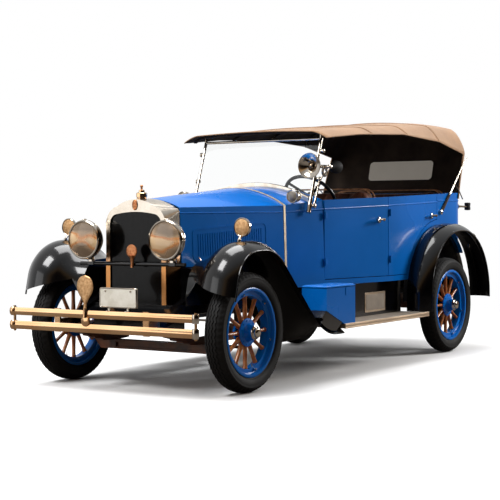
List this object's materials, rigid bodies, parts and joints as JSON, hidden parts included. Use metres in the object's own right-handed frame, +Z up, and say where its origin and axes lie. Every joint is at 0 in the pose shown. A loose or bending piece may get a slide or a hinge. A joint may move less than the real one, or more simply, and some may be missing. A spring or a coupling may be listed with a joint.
{
  "type": "vintage car",
  "caption": "Open touring car with wooden-spoked wheels, a folding cloth top, swept fenders over running boards, upright radiator, drum headlamps and four hinged doors.",
  "frame": {"origin": "on the ground, under the middle of the car's length and width", "axes": "-Y points forwards, +X is the car's left side, +Z is up"},
  "size_m": [1.73, 4.42, 1.9419],
  "materials": {
    "tyre_rubber": "matte, moulded tread",
    "spoke_wood": "varnished natural wood",
    "black_paint": "gloss black enamel",
    "brown_paint": "satin brown enamel",
    "blue_paint": "gloss blue enamel",
    "nickel": "polished nickel plate",
    "plate_enamel": "blank enamelled plate",
    "engine_iron": "painted casting",
    "board_rubber": "ribbed mat with metal edge",
    "floor_wood": "painted boards",
    "clear_glass": "clear flat glass",
    "grey_film": "clear flexible film",
    "brown_leather": "stitched leather",
    "tan_cloth": "coated canvas"
  },
  "bodies": {
    "chassis": {"spare_tyre": "tyre_rubber", "spare_wheel": "spoke_wood", "spare_carrier": "black_paint", "frame_rails": "black_paint", "crossmembers": "black_paint", "front_springs": "brown_paint", "rear_springs": "brown_paint", "front_axle": "brown_paint", "rear_axle": "brown_paint", "engine": "engine_iron", "exhaust": "black_paint", "fuel_tank": "black_paint", "cowl": "blue_paint", "hood_hinge": "nickel", "radiator_shell": "nickel", "radiator_core": "black_paint", "headlamps": "nickel", "lamp_bar": "black_paint", "front_bumper": "nickel", "number_plate": "plate_enamel", "front_fenders": "black_paint", "rear_fenders": "black_paint", "running_boards": "board_rubber", "splash_aprons": "black_paint", "toolbox": "blue_paint", "body_tub": "blue_paint", "floor": "floor_wood", "windscreen_frame": "nickel", "windscreen_glass": "clear_glass", "steering_column": "black_paint", "front_seat": "brown_leather", "rear_seat": "brown_leather", "soft_top": "tan_cloth", "back_curtain": "tan_cloth", "back_window": "grey_film", "top_irons": "black_paint", "cowl_lamps": "nickel", "fender_mirrors": "nickel", "bulb_horn": "nickel", "tail_lamp": "nickel", "levers": "black_paint"},
    "left_hood_leaf": {"left_hood": "blue_paint"},
    "right_hood_leaf": {"right_hood": "blue_paint"},
    "left_front_door": {"left_front_door": "blue_paint"},
    "right_front_door": {"right_front_door": "blue_paint"},
    "left_rear_door": {"left_rear_door": "blue_paint"},
    "right_rear_door": {"right_rear_door": "blue_paint"},
    "toolbox_lid": {"toolbox_lid": "blue_paint"},
    "left_knuckle": {"left_knuckle": "brown_paint"},
    "right_knuckle": {"right_knuckle": "brown_paint"},
    "tie_rod": {"tie_rod": "brown_paint"},
    "steering_wheel": {"steering_wheel": "black_paint"},
    "front_left_wheel": {"front_left_tyre": "tyre_rubber", "front_left_wheel": "spoke_wood"},
    "front_right_wheel": {"front_right_tyre": "tyre_rubber", "front_right_wheel": "spoke_wood"},
    "rear_left_wheel": {"rear_left_tyre": "tyre_rubber", "rear_left_wheel": "spoke_wood"},
    "rear_right_wheel": {"rear_right_tyre": "tyre_rubber", "rear_right_wheel": "spoke_wood"}
  },
  "joints": [
    {"name": "left_hood_hinge", "type": "hinge", "parent": "chassis", "child": "left_hood_leaf", "pos_m": [0, -1.694, 1.246], "axis": [0, -0.9966, -0.0828], "range_deg": [0, 55]},
    {"name": "right_hood_hinge", "type": "hinge", "parent": "chassis", "child": "right_hood_leaf", "pos_m": [0, -1.694, 1.246], "axis": [0, 0.9966, 0.0828], "range_deg": [0, 55]},
    {"name": "left_front_door_hinge", "type": "hinge", "parent": "chassis", "child": "left_front_door", "pos_m": [0.5329, -0.27, 0.96], "axis": [0, 0, -1], "range_deg": [0, 65]},
    {"name": "right_front_door_hinge", "type": "hinge", "parent": "chassis", "child": "right_front_door", "pos_m": [-0.5329, -0.27, 0.96], "axis": [0, 0, 1], "range_deg": [0, 65]},
    {"name": "left_rear_door_hinge", "type": "hinge", "parent": "chassis", "child": "left_rear_door", "pos_m": [0.67, 0.501, 0.96], "axis": [0, 0, -1], "range_deg": [0, 65]},
    {"name": "right_rear_door_hinge", "type": "hinge", "parent": "chassis", "child": "right_rear_door", "pos_m": [-0.67, 0.501, 0.96], "axis": [0, 0, 1], "range_deg": [0, 65]},
    {"name": "toolbox_lid_hinge", "type": "hinge", "parent": "chassis", "child": "toolbox_lid", "pos_m": [0.664, -0.622, 0.645], "axis": [0, -1, 0], "range_deg": [0, 85]},
    {"name": "left_steer", "type": "hinge", "parent": "chassis", "child": "left_knuckle", "pos_m": [0.6, -1.622, 0.388], "axis": [0, 0, 1], "range_deg": [-28, 28]},
    {"name": "right_steer", "type": "hinge", "parent": "chassis", "child": "right_knuckle", "pos_m": [-0.6, -1.622, 0.388], "axis": [0, 0, 1], "range_deg": [-28, 28]},
    {"name": "tie_rod_pivot", "type": "hinge", "parent": "left_knuckle", "child": "tie_rod", "pos_m": [0.6, -1.462, 0.272], "axis": [0, 0, 1], "range_deg": [-28, 28]},
    {"name": "steering_wheel_turn", "type": "hinge", "parent": "chassis", "child": "steering_wheel", "pos_m": [0.29, -0.062, 1.27], "axis": [0, 0.7481, 0.6636], "range_deg": [-400, 400]},
    {"name": "front_left_roll", "type": "hinge", "parent": "left_knuckle", "child": "front_left_wheel", "pos_m": [0.715, -1.622, 0.388], "axis": [1, 0, 0], "continuous": true},
    {"name": "front_right_roll", "type": "hinge", "parent": "right_knuckle", "child": "front_right_wheel", "pos_m": [-0.715, -1.622, 0.388], "axis": [1, 0, 0], "continuous": true},
    {"name": "rear_left_roll", "type": "hinge", "parent": "chassis", "child": "rear_left_wheel", "pos_m": [0.715, 1.398, 0.388], "axis": [1, 0, 0], "continuous": true},
    {"name": "rear_right_roll", "type": "hinge", "parent": "chassis", "child": "rear_right_wheel", "pos_m": [-0.715, 1.398, 0.388], "axis": [1, 0, 0], "continuous": true}
  ],
  "couplings": [
    {"joint": "right_steer", "follows": "left_steer", "ratio": 1},
    {"joint": "tie_rod_pivot", "follows": "left_steer", "ratio": -1},
    {"joint": "steering_wheel_turn", "follows": "left_steer", "ratio": 14}
  ]
}
